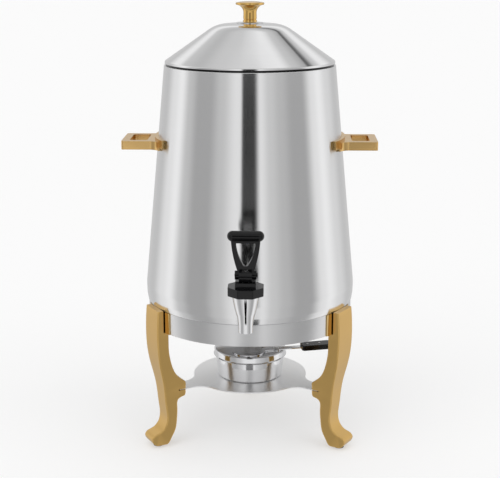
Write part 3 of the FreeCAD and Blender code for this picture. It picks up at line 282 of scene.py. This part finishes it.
# Feet: round rubber pads with a matt moulded skin, pressed under the curled toes.
# They keep the stand from sliding and are the only part that touches the counter.
def moulded(name, colour, roughness, grain_size, grain_depth, glow=0.0, shine=0.5):
    """Moulded rubber or plastic with a fine skin."""
    material = bpy.data.materials.new(name)
    material.use_nodes = True
    nodes, links = material.node_tree.nodes, material.node_tree.links
    shader = nodes["Principled BSDF"]
    shader.inputs["Subsurface Weight"].default_value = glow
    shader.inputs["Subsurface Scale"].default_value = 0.004
    shader.inputs["Specular IOR Level"].default_value = shine
    places = nodes.new("ShaderNodeTexCoord")
    skin = nodes.new("ShaderNodeTexNoise")
    skin.inputs["Scale"].default_value = grain_size
    skin.inputs["Detail"].default_value = 3.0
    links.new(places.outputs["Object"], skin.inputs["Vector"])
    cloud = nodes.new("ShaderNodeTexNoise")
    cloud.inputs["Scale"].default_value = 60.0
    links.new(places.outputs["Object"], cloud.inputs["Vector"])
    tint = nodes.new("ShaderNodeMix")
    tint.data_type = "RGBA"
    tint.inputs["A"].default_value = (*[part * 0.8 for part in colour], 1)
    tint.inputs["B"].default_value = (*[min(part * 1.2, 1) for part in colour], 1)
    links.new(cloud.outputs["Fac"], tint.inputs["Factor"])
    links.new(tint.outputs["Result"], shader.inputs["Base Color"])
    worn = nodes.new("ShaderNodeMapRange")
    worn.inputs["To Min"].default_value = roughness * 0.8
    worn.inputs["To Max"].default_value = roughness * 1.2
    links.new(cloud.outputs["Fac"], worn.inputs["Value"])
    links.new(worn.outputs["Result"], shader.inputs["Roughness"])
    relief = nodes.new("ShaderNodeBump")
    relief.inputs["Strength"].default_value = grain_depth
    relief.inputs["Distance"].default_value = 0.0001
    links.new(skin.outputs["Fac"], relief.inputs["Height"])
    links.new(relief.outputs["Normal"], shader.inputs["Normal"])
    return material


foot_rubber = moulded("foot_rubber", (0.035, 0.035, 0.036), 0.7, 700, 0.3)
paint(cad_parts["foot_pads"], foot_rubber)


# Burner plate: a laser cut sheet whose three arms run into slots in the legs, brushed on
# both faces. Its cut edges are broken; the narrow bevel defined here is used on other parts.
SHARP_CORNER = math.radians(38)
SAME_POINT = 0.000005


def broken_edges(node, width, steps=2):
    """Narrow rounded edges on a solid, without touching its own mesh."""
    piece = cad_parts[node]
    join = piece.modifiers.new("joined", "WELD")
    join.merge_threshold = SAME_POINT
    bevel = piece.modifiers.new("edges", "BEVEL")
    bevel.width = width * MM
    bevel.segments = steps
    bevel.limit_method = "ANGLE"
    bevel.angle_limit = SHARP_CORNER
    shade = piece.modifiers.new("shading", "WEIGHTED_NORMAL")
    shade.keep_sharp = False
    return piece


plate_steel = metal_sheet("plate_steel", (0.93, 0.93, 0.93), 0.40, 0.25)
paint(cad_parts["burner_plate"], plate_steel)


# Screws, rivets, nut, shank and tap stem: steel turned on a lathe and bright zinc plated,
# with fine marks from the tool. They hold the legs, plate, handles, knob, damper and tap.
hardware_steel = metal_sheet("hardware_steel", (0.58, 0.58, 0.57), 0.28, 0.4)
for node in ("leg_screws", "plate_screws", "damper_rivet", "grip_rivets", "handle_screws",
             "knob_screw", "tap_nut", "tap_shank", "tap_stem"):
    paint(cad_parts[node], hardware_steel)


# Burner: a spun cup for the fuel, its pressed cover with a round mouth, and the flat damper
# that swings over the mouth on a rivet. All three are chrome plated and polished.
mirror_chrome = metal_sheet("mirror_chrome", (0.78, 0.78, 0.79), 0.09, 0.4)
for node in ("burner_cup", "burner_cover", "damper"):
    paint(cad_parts[node], mirror_chrome)


# Damper grips: two halves of black heat resistant plastic, one above and one below the
# damper's tang, riveted together through it. The mould leaves them half glossy.
black_plastic = moulded("black_plastic", (0.005, 0.005, 0.0055), 0.19, 1200, 0.06, shine=0.3)
for node in ("upper_grip", "lower_grip"):
    paint(broken_edges(node, 0.6), black_plastic)


# Vessel: a tapered shell, spun from stainless sheet and polished round, with the butt
# weld at the back. It steps in under the seam and drops into the stand's ring.
polished_steel = metal_sheet("polished_steel", (0.77, 0.77, 0.775), 0.155, 0.05, stretch=0.96,
                             seam=True)
vessel_wall = spun_shape("vessel_wall", [
    (111.0, 500.0, 0.9), (138.7, 213.0, 30.0), (138.3, 199.0, 12.0), (137.0, 190.8, 0.9),
    (133.6, 190.8, 0.5), (133.6, 178.0, 1.2), (126.4, 178.0, 0.4), (126.4, 179.2, 0.4),
    (132.4, 179.2, 0.6), (132.4, 192.0, 0.6), (135.8, 192.0, 1.0), (137.1, 199.0, 12.0),
    (137.5, 213.0, 30.0), (110.1, 497.0, 0.3), (108.2, 497.0, 0.3), (108.2, 500.0, 0.9)],
    "vessel", "vessel_shell", turns=256)
paint(vessel_wall, polished_steel)


# Handles: cast loops with a curved foot that fits the wall, held by two screws from inside.
# They are gold plated, with their outer edges ground round.
handle_gold = cast_gold("handle_gold", (0.76, 0.50, 0.20), 0.24, 0.06)
for side in ("left", "right"):
    paint(broken_edges(f"{side}_handle", 1.0, steps=3), handle_gold)


# Seals: washers under the tap and the handles' screws, and the cup that shuts the tap.
# They are moulded from translucent silicone, which light enters a little way.
silicone = moulded("silicone", (0.62, 0.60, 0.56), 0.38, 400, 0.1, glow=0.3)
for node in ("handle_washers", "tap_gasket", "tap_washer", "seat_cup"):
    paint(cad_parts[node], silicone)


# Tap: a brass casting with a waisted spout, screwed to the shank through the wall.
# It is polished to a mirror and chrome plated like the burner.
paint(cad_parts["tap_body"], mirror_chrome)


# Return spring: one length of stainless wire, coiled open. It stands on the stem's collar
# and pushes against the bonnet, so the real one shortens as the stem lifts. Here the coil
# is carried with the stem at one length.
WIRE_RADIUS = 0.8
COIL_RADIUS = 5.6
COIL_PITCH = 2.9
STEPS_ROUND_COIL = 32
STEPS_ROUND_WIRE = 10


def coiled_wire(name, middle, rise):
    """Round wire wound up from a point on the coil's axis, with flat cut ends."""
    coil_turns = rise / (COIL_PITCH * MM)
    steps = round(coil_turns * STEPS_ROUND_COIL)
    build = bmesh.new()
    rings = []
    for step in range(steps + 1):
        angle = 2 * math.pi * coil_turns * step / steps
        outwards = Vector((math.cos(angle), math.sin(angle), 0))
        forwards = Vector((-math.sin(angle) * COIL_RADIUS, math.cos(angle) * COIL_RADIUS,
                           COIL_PITCH / (2 * math.pi))).normalized()
        across = outwards.cross(forwards)
        core = (Vector(middle) + outwards * COIL_RADIUS * MM
                + Vector((0, 0, rise * step / steps)))
        ring = []
        for point in range(STEPS_ROUND_WIRE):
            turn = 2 * math.pi * point / STEPS_ROUND_WIRE
            spoke = outwards * math.cos(turn) + across * math.sin(turn)
            ring.append(build.verts.new(core + spoke * WIRE_RADIUS * MM))
        rings.append(ring)
    for here, beyond in zip(rings, rings[1:]):
        for point in range(STEPS_ROUND_WIRE):
            beside = (point + 1) % STEPS_ROUND_WIRE
            build.faces.new((here[point], here[beside], beyond[beside], beyond[point]))
    build.faces.new(rings[0])
    build.faces.new(rings[-1])
    bmesh.ops.recalc_face_normals(build, faces=build.faces)
    mesh = bpy.data.meshes.new(name)
    build.to_mesh(mesh)
    build.free()
    mesh.shade_smooth()
    mesh.set_sharp_from_angle(angle=math.radians(50))
    coil = bpy.data.objects.new(name, mesh)
    bpy.context.scene.collection.objects.link(coil)
    return coil


spring_low, spring_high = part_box("tap_spring")
coil_middle = (spring_low[1] + spring_high[1]) / 2
coil_start = spring_low[2] + WIRE_RADIUS * MM
coil_rise = spring_high[2] - WIRE_RADIUS * MM - coil_start
return_spring = coiled_wire("return_spring", (0, coil_middle, coil_start), coil_rise)
paint(return_spring, hardware_steel)
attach(return_spring, "stem")
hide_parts("tap_spring")
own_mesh(return_spring)


# Bonnet, lever and pin: glossy black plastic mouldings. The bonnet screws on the tap, and
# the lever, a forked paddle with a cross bar, tips on the pin and lifts the stem.
for node, width in (("tap_bonnet", 0.8), ("tap_lever", 0.9)):
    paint(broken_edges(node, width, steps=3), black_plastic)
paint(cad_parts["lever_pin"], black_plastic)


# Lid: a spun cone with a rolled rim and a flat crown, polished round like the vessel.
# The narrow seam under the rim is painted near black in the steel's colour, as painted shade.
lid_steel = metal_sheet("lid_steel", (0.77, 0.77, 0.775), 0.10, 0.08, stretch=0.5)
lid_cone = spun_shape("lid_cone", [
    (108.4, 500.0, 0.2), (108.4, 501.7, 0.4), (110.0, 501.8, 0.9), (110.0, 504.9, 2.4),
    (43.4, 551.2, 42.0), (2.8, 553.35, 0.2), (2.8, 552.3, 0.2),
    (43.0, 550.15, 41.0), (107.4, 504.4, 1.4), (107.4, 500.0, 0.3)],
    "lid", "lid_shell", turns=224)


def paint_seam_shade(material, top, fade):
    """Paints shade into a finish's colour below a height in mm, fading out above it."""
    nodes, links = material.node_tree.nodes, material.node_tree.links
    shader = nodes["Principled BSDF"]
    unshaded_colour = shader.inputs["Base Color"].links[0].from_socket
    places = nodes.new("ShaderNodeTexCoord")
    split = nodes.new("ShaderNodeSeparateXYZ")
    links.new(places.outputs["Object"], split.inputs["Vector"])
    # Painted shade: the colour turns near black in the seam under the rim and fades out above it.
    seam_shade_share = nodes.new("ShaderNodeMapRange")
    seam_shade_share.inputs["From Min"].default_value = (top + fade) * MM
    seam_shade_share.inputs["From Max"].default_value = top * MM
    links.new(split.outputs["Z"], seam_shade_share.inputs["Value"])
    tint = nodes.new("ShaderNodeMix")
    tint.data_type = "RGBA"
    tint.inputs["B"].default_value = (0.03, 0.03, 0.03, 1)
    links.new(seam_shade_share.outputs["Result"], tint.inputs["Factor"])
    links.new(unshaded_colour, tint.inputs["A"])
    links.new(tint.outputs["Result"], shader.inputs["Base Color"])


# Painted shade in the lid's seam, up to 502.4 mm.
paint_seam_shade(lid_steel, top=502.4, fade=0.3)
paint(lid_cone, lid_steel)


# Knob: turned brass, polished and gold plated, with a domed top. It stands on a thin
# steel washer and is held by a screw from inside the lid.
bright_gold = cast_gold("bright_gold", (0.74, 0.47, 0.15), 0.05, 0.01)
paint(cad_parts["lid_knob"], bright_gold)
paint(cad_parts["knob_washer"], satin_steel)


# Studio: a round tent of pale cloth that only polished surfaces see. Bright boxes stand at
# both sides, grey flags between them, and a narrow black flag behind the camera. A second
# black flag lies low in front, where the edge of the table would be.
TENT_RADIUS = 4.0
TENT_MIDDLE = 0.35
BRIGHT, PALE, MIDDLE, GREY, DARK, BLACK = 1.05, 0.93, 0.64, 0.45, 0.12, 0.0
TENT_WALL = [(-180, MIDDLE), (-132, MIDDLE), (-110, PALE), (-96, BRIGHT), (-80, MIDDLE),
             (-65, GREY), (-50, GREY), (-34, MIDDLE), (-14, PALE), (14, PALE), (26, MIDDLE * 1.1),
             (40, MIDDLE * 0.9), (56, GREY), (70, GREY), (87, PALE), (99, BRIGHT),
             (117, PALE * 0.9), (140, MIDDLE), (180, MIDDLE)]
BLACK_FLAG_FOOT = (-0.19, -0.15)
BLACK_FLAG = [(-9.0, 1), (-7.8, BLACK), (6.2, BLACK), (8.2, 0.08), (13.0, 1)]
TABLE_FLAG_TOP = (-0.50, -0.58)
TABLE_FLAG = [(-14, 1), (-11, BLACK), (11, BLACK), (14, 1)]
ROOF_START = (0.34, 0.50)
ROOF_SPLIT = (-0.12, 0.12)
ROOF_LEFT = [(0.45, 1.0), (0.56, 1.0), (0.66, 0.68), (0.80, 0.60), (0.93, 0.72), (1.0, 0.8)]
ROOF_RIGHT = [(0.45, 1.0), (0.56, 1.0), (0.66, 0.66), (0.735, DARK), (0.745, DARK),
              (0.76, 0.50), (0.86, 0.68), (0.93, 1.02), (0.97, 0.98), (1.0, 0.8)]


def cloth_ramp(nodes, links, along, stops, smooth=True):
    """Greys of the tent's cloth, from (share of the way along, grey)."""
    ramp = nodes.new("ShaderNodeValToRGB")
    ramp.color_ramp.interpolation = "EASE" if smooth else "LINEAR"
    marks = ramp.color_ramp.elements
    while len(marks) < len(stops):
        marks.new(0.5)
    for mark, (share, grey) in zip(marks, stops):
        mark.position = share
        mark.color = (grey, grey, grey, 1)
    links.new(along, ramp.inputs["Fac"])
    return ramp.outputs["Color"]


def round_the_tent(stops):
    """Ramp places of (degrees from the front, grey)."""
    return [(0.5 + degrees / 360, grey) for degrees, grey in stops]


def laid_over(nodes, links, below, above, share, blend="MIX"):
    """One layer of the tent's light over another, by a share."""
    layer = nodes.new("ShaderNodeMix")
    layer.data_type = "RGBA"
    layer.blend_type = blend
    links.new(share, layer.inputs["Factor"])
    links.new(below, layer.inputs["A"])
    links.new(above, layer.inputs["B"])
    return layer.outputs["Result"]


def height_share(nodes, links, height, low, high):
    """0 below one share of the tent's radius and 1 above another."""
    share = nodes.new("ShaderNodeMapRange")
    share.inputs["From Min"].default_value = low * TENT_RADIUS
    share.inputs["From Max"].default_value = high * TENT_RADIUS
    links.new(height, share.inputs["Value"])
    return share.outputs["Result"]


tent_mesh = bpy.data.meshes.new("studio_tent")
tent_build = bmesh.new()
bmesh.ops.create_uvsphere(tent_build, u_segments=96, v_segments=48, radius=TENT_RADIUS)
tent_build.to_mesh(tent_mesh)
tent_build.free()
tent = bpy.data.objects.new("studio_tent", tent_mesh)
bpy.context.scene.collection.objects.link(tent)
tent.location = (0, 0, TENT_MIDDLE)
tent_cloth = bpy.data.materials.new("tent_cloth")
tent_cloth.use_nodes = True
nodes, links = tent_cloth.node_tree.nodes, tent_cloth.node_tree.links
nodes.clear()
places = nodes.new("ShaderNodeTexCoord")
face_front = nodes.new("ShaderNodeMapping")
face_front.inputs["Rotation"].default_value = (0, 0, math.radians(90))
around = nodes.new("ShaderNodeTexGradient")
around.gradient_type = "RADIAL"
links.new(places.outputs["Object"], face_front.inputs["Vector"])
links.new(face_front.outputs["Vector"], around.inputs["Vector"])
split = nodes.new("ShaderNodeSeparateXYZ")
links.new(places.outputs["Object"], split.inputs["Vector"])
turned_by, height, sideways = around.outputs["Fac"], split.outputs["Z"], split.outputs["X"]
wall = cloth_ramp(nodes, links, turned_by, round_the_tent(TENT_WALL))
black_flag = cloth_ramp(nodes, links, turned_by, round_the_tent(BLACK_FLAG), smooth=False)
table_flag = cloth_ramp(nodes, links, turned_by, round_the_tent(TABLE_FLAG))
upwards = height_share(nodes, links, height, 0, 1)
roof = laid_over(nodes, links, cloth_ramp(nodes, links, upwards, ROOF_LEFT),
                 cloth_ramp(nodes, links, upwards, ROOF_RIGHT),
                 height_share(nodes, links, sideways, *ROOF_SPLIT))
wall = laid_over(nodes, links, wall, black_flag,
                 height_share(nodes, links, height, *BLACK_FLAG_FOOT), "MULTIPLY")
wall = laid_over(nodes, links, wall, table_flag,
                 height_share(nodes, links, height, *TABLE_FLAG_TOP), "MULTIPLY")
tent_light = laid_over(nodes, links, wall, roof,
                       height_share(nodes, links, height, *ROOF_START))
lamp = nodes.new("ShaderNodeEmission")
links.new(tent_light, lamp.inputs["Color"])
out = nodes.new("ShaderNodeOutputMaterial")
links.new(lamp.outputs["Emission"], out.inputs["Surface"])
tent.data.materials.append(tent_cloth)
tent.visible_camera = False
tent.visible_diffuse = False
tent.visible_transmission = False
tent.visible_shadow = False


# Floor: one wide sheet of white paper that keeps the urn's soft shadow. The camera sees it
# lifted to the backdrop's white, and polished surfaces don't see it.
FLOOR_HALF = 30.0
PAPER_GREY = 0.5
PAPER_LIFT = 0.47
floor_mesh = bpy.data.meshes.new("studio_floor")
floor_build = bmesh.new()
bmesh.ops.create_grid(floor_build, x_segments=1, y_segments=1, size=FLOOR_HALF)
floor_build.to_mesh(floor_mesh)
floor_build.free()
floor = bpy.data.objects.new("studio_floor", floor_mesh)
bpy.context.scene.collection.objects.link(floor)
floor_paper = bpy.data.materials.new("floor_paper")
floor_paper.use_nodes = True
nodes, links = floor_paper.node_tree.nodes, floor_paper.node_tree.links
shader = nodes["Principled BSDF"]
shader.inputs["Base Color"].default_value = (PAPER_GREY, PAPER_GREY, PAPER_GREY, 1)
shader.inputs["Roughness"].default_value = 0.9
shader.inputs["Specular IOR Level"].default_value = 0.0
shader.inputs["Emission Color"].default_value = (1, 1, 1, 1)
seen = nodes.new("ShaderNodeLightPath")
lift = nodes.new("ShaderNodeMath")
lift.operation = "MULTIPLY"
lift.inputs[1].default_value = PAPER_LIFT
links.new(seen.outputs["Is Camera Ray"], lift.inputs[0])
links.new(lift.outputs[0], shader.inputs["Emission Strength"])
floor.data.materials.append(floor_paper)
floor.visible_glossy = False


# Backdrop and room light: near white to the camera, in mirrors and through clear pieces,
# and a softer even light on everything else.
ROOM_LIGHT = 0.55
BACKDROP_WHITE = 0.985
world = bpy.data.worlds.new("studio_room")
bpy.context.scene.world = world
world.use_nodes = True
nodes, links = world.node_tree.nodes, world.node_tree.links
backdrop = nodes["Background"]
seen = nodes.new("ShaderNodeLightPath")
straight = nodes.new("ShaderNodeMath")
straight.operation = "MAXIMUM"
links.new(seen.outputs["Is Camera Ray"], straight.inputs[0])
links.new(seen.outputs["Is Glossy Ray"], straight.inputs[1])
through = nodes.new("ShaderNodeMath")
through.operation = "MAXIMUM"
links.new(straight.outputs[0], through.inputs[0])
links.new(seen.outputs["Is Transmission Ray"], through.inputs[1])
level = nodes.new("ShaderNodeMapRange")
level.inputs["To Min"].default_value = ROOM_LIGHT
level.inputs["To Max"].default_value = BACKDROP_WHITE
links.new(through.outputs[0], level.inputs["Value"])
backdrop.inputs["Color"].default_value = (1, 1, 1, 1)
links.new(level.outputs["Result"], backdrop.inputs["Strength"])


# Lamps: three wide soft suns, left, right and overhead. They light the dull surfaces, and
# polished ones don't mirror them.
def soft_sun(name, place, power, spread):
    """Sun that shines from a place towards the urn and isn't seen in reflections."""
    light = bpy.data.lights.new(name, "SUN")
    light.energy = power
    light.angle = math.radians(spread)
    sun = bpy.data.objects.new(name, light)
    bpy.context.scene.collection.objects.link(sun)
    sun.location = place
    sun.rotation_euler = (-Vector(place)).to_track_quat("-Z", "Y").to_euler()
    sun.visible_glossy = False


soft_sun("left_sun", (-1.4, -1.6, 2.4), power=0.75, spread=50)
soft_sun("right_sun", (1.8, -1.0, 2.2), power=0.5, spread=50)
soft_sun("top_sun", (0, 0.3, 3.0), power=0.45, spread=60)


# Camera: a long lens a little above the lid and just right of the tap, tipped down so that
# the lid's seam and the ring's seam show as the same flat ovals as on the real urn.
CAMERA_TURN = math.radians(1.6)
CAMERA_DISTANCE = 1.499
CAMERA_HEIGHT = 0.641
CAMERA_TILT = math.radians(14.0)
PICTURE_WIDTH = 500
SENSOR_WIDTH = 36.0
FOCAL_PIXELS = 1151.6
camera_data = bpy.data.cameras.new("camera")
camera = bpy.data.objects.new("camera", camera_data)
bpy.context.scene.collection.objects.link(camera)
camera_data.sensor_width = SENSOR_WIDTH
camera_data.lens = FOCAL_PIXELS / PICTURE_WIDTH * SENSOR_WIDTH
camera.location = (CAMERA_DISTANCE * math.sin(CAMERA_TURN),
                   -CAMERA_DISTANCE * math.cos(CAMERA_TURN), CAMERA_HEIGHT)
camera.rotation_euler = (math.radians(90) - CAMERA_TILT, 0, CAMERA_TURN)
bpy.context.scene.camera = camera
bpy.context.scene.view_settings.view_transform = "Standard"
